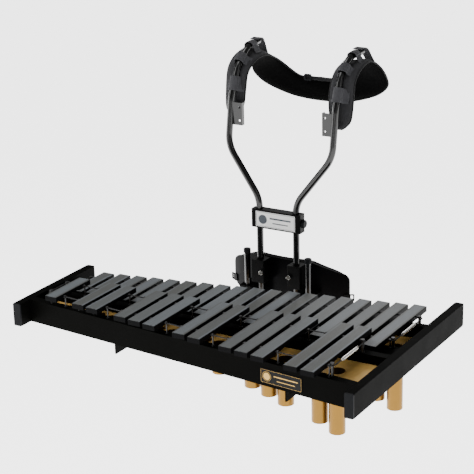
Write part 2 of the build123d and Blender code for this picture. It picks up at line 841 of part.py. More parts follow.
natural_post_x = [note_x(n - 0.5) for n in range(natural_count + 1)]
accidental_post_x = sorted({note_x(n + step) for n in accidental_notes for step in (-0.5, 0.5)})
rows = [
    ("natural_front_posts", natural_post_x, natural_front_node, 1, low_rail_top_z, natural_mid_z, natural_corner),
    ("natural_rear_posts", natural_post_x, natural_rear_node, -1, low_rail_top_z, natural_mid_z, natural_corner),
    ("accidental_front_posts", accidental_post_x, accidental_front_node, 1, natural_top_z, accidental_mid_z,
     accidental_corner),
    ("accidental_rear_posts", accidental_post_x, accidental_rear_node, -1, natural_top_z, accidental_mid_z,
     accidental_corner),
]
for node, places, line, inward, z_foot, z_cord, corner in rows:
    solids = [post(x, line, z_foot, z_cord) for x in places]
    solids += [corner_pin(side * corner, line, inward, z_foot, z_cord) for side in (-1, 1)]
    save(node, *solids)

save("left_end_board", end_board(-1))
save("right_end_board", end_board(1))
caps = []
for side in (-1, 1):
    board_x = side * (inner_x + profile_width / 2)
    caps.append(board_cap(side, board_front(board_x), -1))
    caps.append(board_cap(side, board_rear(board_x), 1))
save("end_board_caps", *caps)
save("front_rail", box_rail(accidental_front_node, profile_height, natural_top_z))
save("centre_accidental_rail", box_rail(accidental_rear_node, profile_height, natural_top_z))
save("centre_natural_rail", box_rail(natural_front_node, low_rail_height, low_rail_top_z))
save("rear_rail", box_rail(natural_rear_node, low_rail_height, low_rail_top_z))
save("centre_deck", strip(shifted(accidental_rear_node, profile_width / 2),
                          shifted(natural_front_node, -profile_width / 2),
                          -inner_x, inner_x, low_rail_top_z - deck_thickness, low_rail_top_z))
save("cross_braces", brace(low_brace_note), brace(high_brace_note))
save("corner_gussets", *[gusset(side, line, low_rail_top_z) for side in (-1, 1)
                         for line in (natural_front_node, natural_rear_node)])

plate, tubes, stops = resonator_bank(range(natural_count), False, natural_front_node, natural_rear_node,
                                     natural_plate_z)
save("natural_resonator_plate", plate)
save("natural_resonator_tubes", *tubes)
save("natural_resonator_stops", *stops)
plate, tubes, stops = resonator_bank(accidental_notes, True, accidental_front_node, accidental_rear_node,
                                     accidental_plate_z)
save("accidental_resonator_plate", plate)
save("accidental_resonator_tubes", *tubes)
save("accidental_resonator_stops", *stops)
hangers = []
for side in (-1, 1):
    wall = side * inner_x
    hangers.append(hanger(side, (accidental_front_node(wall) + accidental_rear_node(wall)) / 2,
                          accidental_plate_z))
    hangers.append(hanger(side, (natural_front_node(wall) + natural_rear_node(wall)) / 2, natural_plate_z))
save("resonator_hangers", *hangers)

badge_face_y = accidental_front_node(badge_x) - profile_width / 2
badge_turn = math.degrees(math.atan(slope_of(accidental_front_node)))
badge = Pos(badge_x, badge_face_y, natural_top_z - profile_height / 2 - badge_below_middle) * Rot(0, 0, badge_turn) * Pos(
    0, -badge_thickness / 2, 0) * Box(badge_length, badge_thickness, badge_height)
save("front_badge", badge)

screws = plate_screws()
plate = belly_shell(belly_radius - belly_thickness, belly_radius, 0)
pad = belly_shell(belly_radius - belly_thickness - belly_pad_thickness, belly_radius - belly_thickness,
                  belly_pad_inset)
socket_bolts = [front_bolt(side * (socket_spacing / 2 - socket_bolt_inset), socket_y - socket_size / 2,
                           socket_top_z - socket_height / 2) for side in (-1, 1)]
clamp_bolts = [front_bolt(side * (rod_spacing / 2 + clamp_bolt_offset), rod_y - clamp_front,
                          clamp_top_z - clamp_height / 2) for side in (-1, 1)]
sockets = {side: tube_socket(side) for side in (-1, 1)}
clamps = {side: rod_clamp(side) for side in (-1, 1)}
for side in (-1, 1):
    for tool in screws + socket_bolts:
        sockets[side] = sockets[side] - tool
    for tool in screws + clamp_bolts:
        clamps[side] = clamps[side] - tool
for tool in screws:
    plate = plate - tool
    pad = pad - tool
save("belly_plate", plate)
save("belly_pad", pad)
save("plate_screws", *screws)
save("socket_bolts", *socket_bolts)
save("clamp_bolts", *clamp_bolts)
save("strap_tabs", strap_tab(-1), strap_tab(1))
sides = (("left", -1), ("right", 1))
for word, side in sides:
    save(f"{word}_j_rod", j_rod(side))
    save(f"{word}_j_rod_cap", rod_cap(side))
    tube = shoulder_tube(side, shoulder_tube_radius) - shoulder_tube(side, shoulder_tube_radius
                                                                     - shoulder_tube_wall)
    save(f"{word}_shoulder_tube", tube)
save("tube_sockets", sockets[-1], sockets[1])
save("rod_clamps", clamps[-1], clamps[1])
save("accessory_brackets", accessory_bracket(-1), accessory_bracket(1))
save("pad_loops", *pad_loops(-1), *pad_loops(1))
save("hook_receivers", hook_receiver(-1), hook_receiver(1))
save("crossbar", crossbar())
save("crossbar_label", Pos(0, socket_y - crossbar_depth / 2 - label_thickness / 2,
                          crossbar_low_z + crossbar_height / 2)
     * Box(label_length, label_thickness, label_height))
save("crossbar_knob", crossbar_knob())
save("shoulder_pad", *shoulder_pads())
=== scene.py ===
import math
import bpy
import numpy as np
from mathutils import Matrix, Vector


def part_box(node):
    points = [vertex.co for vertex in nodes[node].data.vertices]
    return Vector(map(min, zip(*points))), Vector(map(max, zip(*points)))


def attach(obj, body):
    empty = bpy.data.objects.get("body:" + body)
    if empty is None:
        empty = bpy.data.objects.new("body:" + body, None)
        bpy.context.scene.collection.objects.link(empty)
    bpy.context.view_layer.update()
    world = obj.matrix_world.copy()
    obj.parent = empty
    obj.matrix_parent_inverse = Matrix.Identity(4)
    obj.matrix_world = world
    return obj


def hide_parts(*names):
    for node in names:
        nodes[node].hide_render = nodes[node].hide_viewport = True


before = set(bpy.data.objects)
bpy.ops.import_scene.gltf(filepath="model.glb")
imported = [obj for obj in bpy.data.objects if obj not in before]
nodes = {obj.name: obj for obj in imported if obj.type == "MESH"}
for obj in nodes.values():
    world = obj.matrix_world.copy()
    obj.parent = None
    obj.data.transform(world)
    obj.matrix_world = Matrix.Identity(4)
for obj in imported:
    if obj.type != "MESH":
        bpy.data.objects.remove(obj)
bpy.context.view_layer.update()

# Camera: a long lens a little above the keyboard and to the low-note side of its front.
# It stands about four metres off, so both end boards stay nearly parallel.
camera = bpy.data.objects.new("camera", bpy.data.cameras.new("camera"))
camera.data.sensor_width = 36.0
camera.data.lens = 117.1
right = Vector((0.85912, 0.51127, -0.02276))
up = Vector((-0.14778, 0.29040, 0.94543))
back = Vector((0.48998, -0.80887, 0.32504))
stand = (1.81445, -3.22745, 1.38047)
camera.matrix_world = Matrix.Translation(stand) @ Matrix((right, up, back)).transposed().to_4x4()
bpy.context.scene.collection.objects.link(camera)
bpy.context.scene.camera = camera


# Studio: a wide soft panel overhead, a long one to the left for the streaks on tubes and edges,
# weaker ones to the right, in front and behind, and an even white surround that lifts the shadows.
def panel(name, place, aim, size, watts):
    """A rectangular soft light at place, turned to face aim."""
    light = bpy.data.lights.new(name, "AREA")
    light.shape = "RECTANGLE"
    light.size, light.size_y = size
    light.energy = watts
    lamp = bpy.data.objects.new(name, light)
    lamp.rotation_euler = (Vector(aim) - Vector(place)).to_track_quat("-Z", "Y").to_euler()
    lamp.location = place
    bpy.context.scene.collection.objects.link(lamp)
    return lamp


lights = [
    panel("overhead_panel", (-0.7, -0.5, 2.6), (0, -0.3, 0), (2.2, 1.8), 50),
    panel("left_panel", (-2.6, -1.9, 1.3), (0, -0.2, 0.1), (0.8, 2.2), 40),
    panel("right_panel", (2.9, -1.2, 1.6), (0, -0.2, 0.1), (0.6, 2.0), 9),
    panel("front_panel", (0.6, -4.2, 0.6), (0, -0.3, 0), (2.0, 0.9), 10),
    panel("rear_panel", (-0.6, 2.6, 1.8), (0, 0, 0.3), (1.6, 1.2), 22),
]
surround = bpy.data.worlds.new("surround")
surround.use_nodes = True
surround.node_tree.nodes["Background"].inputs["Color"].default_value = (1, 1, 1, 1)
surround.node_tree.nodes["Background"].inputs["Strength"].default_value = 0.22
bpy.context.scene.world = surround


# Bars: pultruded glass-fibre resin, grey and finely grained along the top; the near black on the sides and
# ends is painted shade, as they face away from the light. Each bar was cut from its own stick, so their
# greys differ.
def linear(code):
    """The linear colour of an sRGB hex code, with full alpha."""
    channels = [int(code[i:i + 2], 16) / 255 for i in (1, 3, 5)]
    return [c / 12.92 if c <= 0.04045 else ((c + 0.055) / 1.055) ** 2.4 for c in channels] + [1.0]


def add(tree, kind, settings=(), **inputs):
    """A node of that kind; each input is a value, a colour or another node's socket.
    i0, i1 and so on name inputs by their number."""
    node = tree.nodes.new("ShaderNode" + kind)
    for key, value in dict(settings).items():
        setattr(node, key, value)
    for key, value in inputs.items():
        numbered = key[0] == "i" and key[1:].isdigit()
        socket = node.inputs[int(key[1:]) if numbered else key.replace("_", " ")]
        if isinstance(value, bpy.types.NodeSocket):
            tree.links.new(value, socket)
        else:
            socket.default_value = value
    return node


def blank(name):
    """A new material with its shader node: (material, tree, shader)."""
    made = bpy.data.materials.new(name)
    made.use_nodes = True
    return made, made.node_tree, made.node_tree.nodes["Principled BSDF"]


def paint(material, *names):
    """Gives CAD nodes a material."""
    for name in names:
        nodes[name].data.materials.clear()
        nodes[name].data.materials.append(material)


half_pitch_mm = 22.25
fibre_mm = 0.9
fleck_mm = 1.4
bar_resin, tree, shader = blank("glass_fibre_resin")
where = add(tree, "TexCoord").outputs["Object"]
split = add(tree, "SeparateXYZ", Vector=where)
facing = add(tree, "SeparateXYZ", Vector=add(tree, "NewGeometry").outputs["Normal"])
along = add(tree, "Mapping", Vector=where, Scale=(1, 0.02, 1))
grain = add(tree, "TexNoise", Vector=along.outputs["Vector"], Scale=1000 / fibre_mm, Detail=4.0)
flecks = add(tree, "TexNoise", Vector=where, Scale=1000 / fleck_mm, Detail=2.0)
counted = add(tree, "Math", {"operation": "MULTIPLY_ADD"}, i0=split.outputs["X"], i1=1000 / half_pitch_mm,
              i2=0.5)
stick = add(tree, "Math", {"operation": "FLOOR"}, i0=counted.outputs[0])
pick = add(tree, "TexWhiteNoise", {"noise_dimensions": "1D"}, W=stick.outputs[0])
grey = add(tree, "MixRGB", Fac=pick.outputs["Value"], Color1=linear("#62676b"), Color2=linear("#4b4c49"))
streaked = add(tree, "MixRGB", {"blend_type": "MULTIPLY"}, Fac=0.55, Color1=grey.outputs[0], Color2=add(
    tree, "MapRange", i0=grain.outputs["Fac"], i1=0.3, i2=0.7, i3=0.62, i4=1.15).outputs["Result"])
# How far each face looks up: this share paints the sides and ends near black as painted shade, and lowers
# their gloss.
top_share_shade_and_gloss = add(tree, "MapRange", i0=facing.outputs["Z"], i1=0.55, i2=0.85, i3=0.0, i4=1.0)
colour = add(tree, "MixRGB", Fac=top_share_shade_and_gloss.outputs["Result"], Color1=linear("#060607"),
             Color2=streaked.outputs[0])
tree.links.new(colour.outputs[0], shader.inputs["Base Color"])
rough = add(tree, "MapRange", i0=flecks.outputs["Fac"], i1=0.3, i2=0.7, i3=0.38, i4=0.52)
tree.links.new(rough.outputs["Result"], shader.inputs["Roughness"])
bump = add(tree, "Bump", Height=grain.outputs["Fac"], Distance=0.00006, Strength=0.7)
tree.links.new(bump.outputs["Normal"], shader.inputs["Normal"])
gloss = add(tree, "MapRange", i0=top_share_shade_and_gloss.outputs["Result"], i1=0.0, i2=1.0, i3=0.03, i4=0.42)
tree.links.new(gloss.outputs["Result"], shader.inputs["Specular IOR Level"])
for row in ("natural", "accidental"):
    paint(bar_resin, *[f"{row}_bars_{group}" for group in range(1, 7)])


# Posts: moulded black nylon with a slight sheen, pressed into the rails between the bars.
# A finish like this one, with a fine grain and a slow drift in gloss, serves most of the other parts.
def plain_finish(name, code, roughness, metallic=0.0, grain_mm=0.6, height_mm=0.02, spread=0.08,
                 specular=0.5):
    """An even finish: a fine grain in the surface, and a slow drift in roughness as on any handled thing."""
    made, tree, shader = blank(name)
    where = add(tree, "TexCoord").outputs["Object"]
    drift_mm = 60
    grain = add(tree, "TexNoise", Vector=where, Scale=1000 / grain_mm, Detail=3.0)
    drift = add(tree, "TexNoise", Vector=where, Scale=1000 / drift_mm, Detail=4.0)
    rough = add(tree, "MapRange", i0=drift.outputs["Fac"], i1=0.3, i2=0.7, i3=roughness - spread,
                i4=roughness + spread)
    bump = add(tree, "Bump", Height=grain.outputs["Fac"], Distance=height_mm / 1000, Strength=0.6)
    shader.inputs["Base Color"].default_value = linear(code)
    shader.inputs["Metallic"].default_value = metallic
    shader.inputs["Specular IOR Level"].default_value = specular
    tree.links.new(rough.outputs["Result"], shader.inputs["Roughness"])
    tree.links.new(bump.outputs["Normal"], shader.inputs["Normal"])
    return made


post_nylon = plain_finish("black_nylon_post", "#0f0f10", 0.42)
paint(post_nylon, "natural_front_posts", "natural_rear_posts", "accidental_front_posts",
      "accidental_rear_posts")

# Cords: black braided nylon, threaded through every bar at its nodes.
# The braid is a fine cell pattern in the surface that breaks up the highlight.
braid_mm = 0.9
cord_braid, tree, shader = blank("braided_nylon_cord")
where = add(tree, "TexCoord").outputs["Object"]
braid = add(tree, "TexVoronoi", Vector=where, Scale=1000 / braid_mm)
bump = add(tree, "Bump", Height=braid.outputs["Distance"], Distance=0.0002, Strength=0.8)
shader.inputs["Base Color"].default_value = linear("#161617")
shader.inputs["Roughness"].default_value = 0.8
tree.links.new(bump.outputs["Normal"], shader.inputs["Normal"])
paint(cord_braid, "natural_cord", "accidental_cord")


# Springs: bright close-wound steel, one per row at the low end, each with an eye for the cord.
# The wire is wound turn against turn, so its highlights break into fine bright rings.
def surface(name, points, wrap_u=False, wrap_v=False, step=(0.001, 0.001), smooth=True):
    """Mesh over a grid of points, closed where it wraps; each quad joins neighbours in u and v.
    The UV map counts metres along the grid: index times step."""
    rows, columns = points.shape[:2]
    u, v = np.meshgrid(np.arange(rows if wrap_u else rows - 1),
                       np.arange(columns if wrap_v else columns - 1), indexing="ij")
    u, v = u.ravel(), v.ravel()
    corners = [(u, v), (u + 1, v), (u + 1, v + 1), (u, v + 1)]
    quads = np.stack([(a % rows) * columns + b % columns for a, b in corners], axis=1)
    mesh = bpy.data.meshes.new(name)
    mesh.from_pydata(points.reshape(-1, 3).tolist(), [], quads.tolist())
    flat = np.stack([np.stack([a * step[0], b * step[1]], axis=1) for a, b in corners], axis=1)
    layer = mesh.uv_layers.new(name="metres")
    layer.data.foreach_set("uv", flat.reshape(-1).astype(np.float32))
    mesh.polygons.foreach_set("use_smooth", np.full(len(quads), smooth))
    mesh.update()
    made = bpy.data.objects.new(name, mesh)
    bpy.context.scene.collection.objects.link(made)
    return made


def tube(name, path, radius, sides=12, wrap=False, material=None):
    """Round tube along a path: rings of points stand square to the path, turned as little as possible.
    Open ends close to a point."""
    path = np.asarray(path, float)
    if wrap:
        along = np.roll(path, -1, 0) - np.roll(path, 1, 0)
    else:
        along = np.gradient(path, axis=0)
    along /= np.linalg.norm(along, axis=1)[:, None]
    side = np.cross(along[0], (0, 0, 1) if abs(along[0][2]) < 0.9 else (1, 0, 0))
    sides_out = []
    for t in along:
        side = side - t * (side @ t)
        side = side / np.linalg.norm(side)
        sides_out.append(side)
    side = np.array(sides_out)
    lift = np.cross(along, side)
    angle = np.linspace(0, 2 * math.pi, sides, endpoint=False)
    ring = (np.cos(angle)[None, :, None] * side[:, None, :]
            + np.sin(angle)[None, :, None] * lift[:, None, :])
    points = path[:, None, :] + radius * ring
    if not wrap:
        points = np.concatenate([np.repeat(path[:1, None, :], sides, 1), points,
                                 np.repeat(path[-1:, None, :], sides, 1)])
    length = np.linalg.norm(np.diff(path, axis=0), axis=1).mean()
    made = surface(name, points, wrap, True, (length, 2 * math.pi * radius / sides))
    if material:
        made.data.materials.append(material)
    return made


spring_steel = plain_finish("bright_spring_steel", "#efede8", 0.3, metallic=1.0, grain_mm=0.3,
                            height_mm=0.004)
wire_radius = 0.00062
wire_spacing = 2.08
coil_radius = 0.0034
coil_points = 14
eye_run = 0.0075
eye_radius = 0.0036
eye_centre = 0.0038
eye_points = 24
# The wire is a helix: x and z turn about the spring's axis as y goes from one end to the other.
# Each end runs on as an eye, seven eighths of a circle in the upright plane through the axis.
for row in ("natural", "accidental"):
    low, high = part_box(f"{row}_spring")
    x, z = (low.x + high.x) / 2, (low.z + high.z) / 2
    start, stop = low.y + eye_run, high.y - eye_run
    turns = int((stop - start) / (wire_spacing * wire_radius))
    s = np.linspace(0, 1, turns * coil_points)
    angle = 2 * math.pi * turns * s
    coil = np.stack([x + coil_radius * np.cos(angle), start + (stop - start) * s,
                     z + coil_radius * np.sin(angle)], axis=1)
    hook = np.linspace(0, 1.75 * math.pi, eye_points)
    reach, rise = eye_radius * np.cos(hook), z + eye_radius * np.sin(hook)
    tail = np.stack([np.full(eye_points, x), low.y + eye_centre + reach, rise], axis=1)
    head = np.stack([np.full(eye_points, x), high.y - eye_centre - reach, rise], axis=1)
    piece = tube(f"{row}_spring_wire", np.concatenate([tail[::-1], coil, head]), wire_radius, 8,
                 material=spring_steel)
    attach(piece, "instrument")
    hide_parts(f"{row}_spring")

# Frame: black powder-coated aluminium box rails between two end boards, closed by moulded caps.
# The coat is satin with a fine orange peel that softens the long edge highlights.
frame_coat = plain_finish("black_powder_coat", "#050504", 0.55, grain_mm=1.1, height_mm=0.03, spread=0.03,
                          specular=0.015)
paint(frame_coat, "left_end_board", "right_end_board", "front_rail", "centre_accidental_rail",
      "centre_natural_rail", "rear_rail", "centre_deck", "cross_braces", "corner_gussets",
      "resonator_hangers", "hook_receivers")
cap_plastic = plain_finish("grey_black_cap_plastic", "#121315", 0.5, grain_mm=0.8, height_mm=0.03,
                           specular=0.05)
paint(cap_plastic, "end_board_caps", "left_j_rod_cap", "right_j_rod_cap", "crossbar_knob")

# Resonators: thin aluminium tubes, anodised a soft matte gold, hanging from plates of the same metal.
# Faint drawing lines run down each tube.
resonator_gold, tree, shader = blank("gold_anodised_aluminium")
where = add(tree, "TexCoord").outputs["Object"]
drawn = add(tree, "Mapping", Vector=where, Scale=(1, 1, 0.03))
lines = add(tree, "TexNoise", Vector=drawn.outputs["Vector"], Scale=1000 / 0.8, Detail=3.0)
clouds = add(tree, "TexNoise", Vector=where, Scale=1000 / 45, Detail=3.0)
tone = add(tree, "MixRGB", Fac=clouds.outputs["Fac"], Color1=linear("#825f24"), Color2=linear("#775926"))
rough = add(tree, "MapRange", i0=lines.outputs["Fac"], i1=0.3, i2=0.7, i3=0.3, i4=0.42)
bump = add(tree, "Bump", Height=lines.outputs["Fac"], Distance=0.00002, Strength=0.5)
tree.links.new(tone.outputs[0], shader.inputs["Base Color"])
tree.links.new(rough.outputs["Result"], shader.inputs["Roughness"])
tree.links.new(bump.outputs["Normal"], shader.inputs["Normal"])
shader.inputs["Metallic"].default_value = 0.85
paint(resonator_gold, "natural_resonator_tubes", "natural_resonator_stops", "accidental_resonator_tubes",
      "accidental_resonator_stops")
# The plates are the same gold metal but get a lighter, less metallic copy of it: painted light that lifts
# them out of the shade under the bars.
plate_gold_painted_light = plain_finish("gold_plate_painted_light", "#d6ab5c", 0.42, metallic=0.25, grain_mm=0.8, height_mm=0.01)
paint(plate_gold_painted_light, "natural_resonator_plate", "accidental_resonator_plate")

# Carrier metal: gloss black enamel on the bent tubes, J rods and brackets, whose low roughness gives
# narrow white streaks. Crossbar, sockets, clamps, strap tabs and belly plate are duller, with little gloss.
gloss_enamel = plain_finish("gloss_black_enamel", "#040404", 0.16, grain_mm=2.5, height_mm=0.02, spread=0.04)
paint(gloss_enamel, "left_shoulder_tube", "right_shoulder_tube", "left_j_rod", "right_j_rod",
      "accessory_brackets")
crossbar_plastic = plain_finish("satin_black_crossbar", "#040404", 0.42, grain_mm=1.0, height_mm=0.03,
                                specular=0.06)
paint(crossbar_plastic, "crossbar", "tube_sockets", "rod_clamps", "strap_tabs")
bolt_chrome = plain_finish("bright_bolt_steel", "#dcdcd8", 0.16, metallic=1.0, grain_mm=0.5, height_mm=0.004)
paint(bolt_chrome, "plate_screws", "socket_bolts", "clamp_bolts")
plate_gloss = plain_finish("gloss_black_plate", "#030304", 0.34, grain_mm=3.0, height_mm=0.02, spread=0.04,
                           specular=0.04)
paint(plate_gloss, "belly_plate")

# Badge and label: plain plates with nothing written on them. The badge has a thin gold line round it,
# a plain disc in a ring and two rules; the label is pale with a dark line, a disc and two rules.
badge_black = plain_finish("badge_black", "#050505", 0.4, specular=0.1)
label_silver = plain_finish("satin_silver_label", "#efefed", 0.45, height_mm=0.01)
print_gold = plain_finish("gold_print", "#b8934c", 0.4, metallic=0.6)
print_dark = plain_finish("dark_print", "#3a4048", 0.5)
paint(badge_black, "front_badge")
paint(label_silver, "crossbar_label")


def raised_shape(name, outline, origin, across, upward, depth, material, hole=None):
    """A flat raised shape: an outline in two axes with its inner edge, carried out from a face.
    Without a hole it closes on its own middle."""
    outline = np.asarray(outline, float)
    inner = outline * 0 + outline.mean(0) if hole is None else np.asarray(hole, float)
    across, upward = np.asarray(across, float), np.asarray(upward, float)
    outward = np.cross(across, upward)
    loops = [(inner, 0), (outline, 0), (outline, depth), (inner, depth)]
    points = np.stack([np.asarray(origin) + loop[:, :1] * across + loop[:, 1:] * upward + out * outward
                       for loop, out in loops], axis=1)
    made = surface(name, points, True, hole is not None, smooth=False)
    made.data.materials.append(material)
    return made


def box_outline(half_x, half_y, corner, steps=6):
    """Rounded rectangle: a quarter circle at each corner."""
    angle = np.linspace(0, math.pi / 2, steps)
    points = []
    for quarter, (sx, sy) in enumerate(((1, 1), (-1, 1), (-1, -1), (1, -1))):
        turn = angle + quarter * math.pi / 2
        points.append(np.stack([sx * (half_x - corner) + corner * np.cos(turn),
                                sy * (half_y - corner) + corner * np.sin(turn)], axis=1))
    return np.concatenate(points)


def circle(radius, centre=(0, 0), steps=48):
    """Round outline."""
    angle = np.linspace(0, 2 * math.pi, steps, endpoint=False)
    return np.stack([centre[0] + radius * np.cos(angle), centre[1] + radius * np.sin(angle)], axis=1)


# The badge lies along the front rail, whose slope is that of the accidentals' front ends
# plus a share of how fast those bars shorten.
low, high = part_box("front_badge")
front_slope = -0.131
node_share = 0.224
bars_shorten = 140 / 756.5
turn = math.atan(front_slope + node_share * bars_shorten)
facing = np.array([math.cos(turn), math.sin(turn), 0])
middle = np.array([(low.x + high.x) / 2, (low.y + high.y) / 2, (low.z + high.z) / 2])
face_offset = 0.0005
middle = middle + np.cross(facing, (0, 0, 1)) * face_offset
badge_relief = 0.0004
disc_place = (-0.038, 0)
badge_marks = {
    "badge_border": (box_outline(0.0535, 0.0155, 0.002), box_outline(0.0531, 0.0151, 0.0015)),
    "badge_disc": (circle(0.0088, disc_place), None),
    "badge_ring": (circle(0.0115, disc_place), circle(0.0109, disc_place)),
    "badge_rule_high": (box_outline(0.032, 0.0012, 0.0008) + (0.013, 0.004), None),
    "badge_rule_low": (box_outline(0.024, 0.0008, 0.0006) + (0.013, -0.006), None),
}
for name, (outline, hole) in badge_marks.items():
    mark = raised_shape(name, outline, middle, facing, (0, 0, 1), badge_relief, print_gold, hole)
    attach(mark, "instrument")

low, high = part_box("crossbar_label")
middle = np.array([(low.x + high.x) / 2, low.y, (low.z + high.z) / 2])
label_relief = 0.0003
label_marks = {
    "label_border": (box_outline(0.0545, 0.0185, 0.002), box_outline(0.0538, 0.0178, 0.0015)),
    "label_disc": (circle(0.012, (-0.036, 0)), None),
    "label_rule_high": (box_outline(0.03, 0.002, 0.001) + (0.014, 0.005), None),
    "label_rule_low": (box_outline(0.022, 0.0012, 0.001) + (0.014, -0.007), None),
}
for name, (outline, hole) in label_marks.items():
    mark = raised_shape(name, outline, middle, (1, 0, 0), (0, 0, 1), label_relief, print_dark, hole)
    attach(mark, "shoulder_frame")


# Fabrics of the carrier: a coarse woven nylon outside, a thick air mesh inside, and ribbed webbing.
# Weave and ribs are ripples along the cloth's own UV, which counts metres; their sizes are in millimetres.
def cloth(name, code, across_mm, along_mm, height_mm, roughness=0.85, dots=False):
    """Cloth whose threads are crossed sine ripples in UV; dots opens the crossing points as dark holes."""
    made, tree, shader = blank(name)
    spread = add(tree, "SeparateXYZ", Vector=add(tree, "UVMap", {"uv_map": "metres"}).outputs["UV"])
    waves = []
    for socket, size in (("X", along_mm), ("Y", across_mm)):
        phase = add(tree, "Math", {"operation": "MULTIPLY"}, i0=spread.outputs[socket],
                    i1=2000 * math.pi / size)
        waves.append(add(tree, "Math", {"operation": "SINE"}, i0=phase.outputs[0]))
    weave = add(tree, "Math", {"operation": "MULTIPLY"}, i0=waves[0].outputs[0], i1=waves[1].outputs[0])
    fuzz_mm = 5.0
    fuzz = add(tree, "TexNoise", Vector=add(tree, "TexCoord").outputs["Object"], Scale=1000 / fuzz_mm,
               Detail=6.0)
    level = add(tree, "MapRange", i0=weave.outputs[0], i1=-1.0, i2=1.0, i3=0.35 if dots else 0.78, i4=1.12)
    shade = add(tree, "MixRGB", {"blend_type": "MULTIPLY"}, Fac=1.0, Color1=linear(code),
                Color2=level.outputs["Result"])
    worn = add(tree, "MixRGB", {"blend_type": "MULTIPLY"}, Fac=0.5, Color1=shade.outputs[0], Color2=add(
        tree, "MapRange", i0=fuzz.outputs["Fac"], i1=0.3, i2=0.7, i3=0.75, i4=1.2).outputs["Result"])
    bump = add(tree, "Bump", Height=weave.outputs[0], Distance=height_mm / 1000, Strength=0.8)
    tree.links.new(worn.outputs[0], shader.inputs["Base Color"])
    tree.links.new(bump.outputs["Normal"], shader.inputs["Normal"])
    shader.inputs["Roughness"].default_value = roughness
    shader.inputs["Sheen Weight"].default_value = 0.0 if dots else 0.06
    shader.inputs["Specular IOR Level"].default_value = 0.03 if dots else 0.15
    shader.inputs["Sheen Roughness"].default_value = 0.5
    return made


woven_nylon = cloth("woven_grey_nylon", "#262628", 1.3, 1.3, 0.12)
air_mesh = cloth("black_air_mesh", "#030303", 3.2, 3.2, 0.5, dots=True)
edge_binding = cloth("edge_binding", "#131314", 0.8, 0.9, 0.08)
webbing = cloth("ribbed_webbing", "#37373a", 1.9, 0.7, 0.16, 0.75)

# Shoulder pad: one padded horseshoe of foam between woven nylon and air mesh, its edge bound all round.
# It hangs under both shoulder tubes and turns upright behind the neck. Its edges are given in millimetres.
pad_outer = np.array([(165, 17, 402), (176, 24, 425), (179, 30, 465), (179, 37, 508), (179, 54, 531),
                      (179, 84, 546), (179, 128, 551), (189, 163, 528), (195, 187, 495), (190, 196, 471),
                      (159, 201, 447), (100, 206, 426), (50, 207, 418), (0, 207, 416)]) / 1000
pad_inner = np.array([(137, 14, 402), (122, 18, 436), (118, 22, 474), (118, 32, 508), (116, 54, 530),
                      (114, 84, 541), (112, 118, 542), (111, 150, 532), (104, 180, 514), (88, 195, 495),
                      (64, 204, 477), (38, 207, 473), (18, 208, 474), (0, 208, 475)]) / 1000


def smooth_through(points, count):
    """Smooth curve through points: each stretch is a cubic whose end slopes come from the points
    beside it."""
    points = np.asarray(points, float)
    padded = np.concatenate([2 * points[:1] - points[1:2], points, 2 * points[-1:] - points[-2:-1]])
    place = np.linspace(0, len(points) - 1.000001, count)
    i = place.astype(int)
    t = (place - i)[:, None]
    a, b, c, d = padded[i], padded[i + 1], padded[i + 2], padded[i + 3]
    square, cube = 2 * a - 5 * b + 4 * c - d, 3 * b - a - 3 * c + d
    return 0.5 * (2 * b + (c - a) * t + square * t ** 2 + cube * t ** 3)


def mirrored(half):
    """The whole path: the right half from its tip to the middle, then the left half back to its tip."""
    other = half[:-1][::-1] * (-1, 1, 1)
    return np.concatenate([half, other])


pad_stations = 261
pad_columns = 33
foam_half_thickness = 0.0074
edge_outer = smooth_through(mirrored(pad_outer), pad_stations)
edge_inner = smooth_through(mirrored(pad_inner), pad_stations)
tip_run = 10
tip_round = np.sqrt(np.clip(1 - (1 - np.arange(tip_run) / tip_run) ** 2, 0, 1))
width_share = np.ones(pad_stations)
width_share[:tip_run] = 0.35 + 0.65 * tip_round
width_share[-tip_run:] = width_share[:tip_run][::-1]
centre = (edge_outer + edge_inner) / 2
half_across = (edge_outer - edge_inner) / 2 * width_share[:, None]
travel = np.gradient(centre, axis=0)
travel /= np.linalg.norm(travel, axis=1)[:, None]
face_out = np.cross(half_across, travel)
face_out /= np.linalg.norm(face_out, axis=1)[:, None]
# Across the pad v runs from -1 to 1. Half the thickness is (1 - |v|^3.2)^0.6 of the foam's, so it is full
# in the middle and rounds off at both edges, and a slow ripple of under a millimetre wanders over it.
v = np.linspace(-1, 1, pad_columns)
ripple = 0.0007
thick = foam_half_thickness * width_share[:, None] * (1 - np.abs(v[None, :]) ** 3.2) ** 0.6
wander = ripple * np.sin(np.arange(pad_stations)[:, None] * 0.11 + 4 * v[None, :]) * (1 - v[None, :] ** 2)
skins = {}
for word, sign in (("outer", 1), ("inner", -1)):
    lift = sign * (thick + wander)
    points = (centre[:, None, :] + v[None, :, None] * half_across[:, None, :]
              + lift[:, :, None] * face_out[:, None, :])
    if sign < 0:
        points = points[:, ::-1]
    skins[word] = points
both = np.concatenate([skins["outer"], skins["inner"][:, 1:-1]], axis=1)
first = np.repeat(both[:1].mean(axis=1, keepdims=True), both.shape[1], 1)
last = np.repeat(both[-1:].mean(axis=1, keepdims=True), both.shape[1], 1)
pad = surface("shoulder_pad_horseshoe", np.concatenate([first, both, last]), False, True, (0.0042, 0.0019))
pad.data.materials.append(woven_nylon)
pad.data.materials.append(air_mesh)
columns = both.shape[1]
slots = np.tile((np.arange(columns) >= pad_columns - 1).astype(np.int32), pad_stations + 1)
pad.data.polygons.foreach_set("material_index", slots)
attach(pad, "shoulder_frame")
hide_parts("shoulder_pad")
rim_outer = centre + half_across
rim_inner = centre - half_across
binding_path = np.concatenate([rim_outer, rim_inner[::-1]])
binding = tube("shoulder_pad_binding", binding_path, 0.0021, 10, wrap=True, material=edge_binding)
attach(binding, "shoulder_frame")


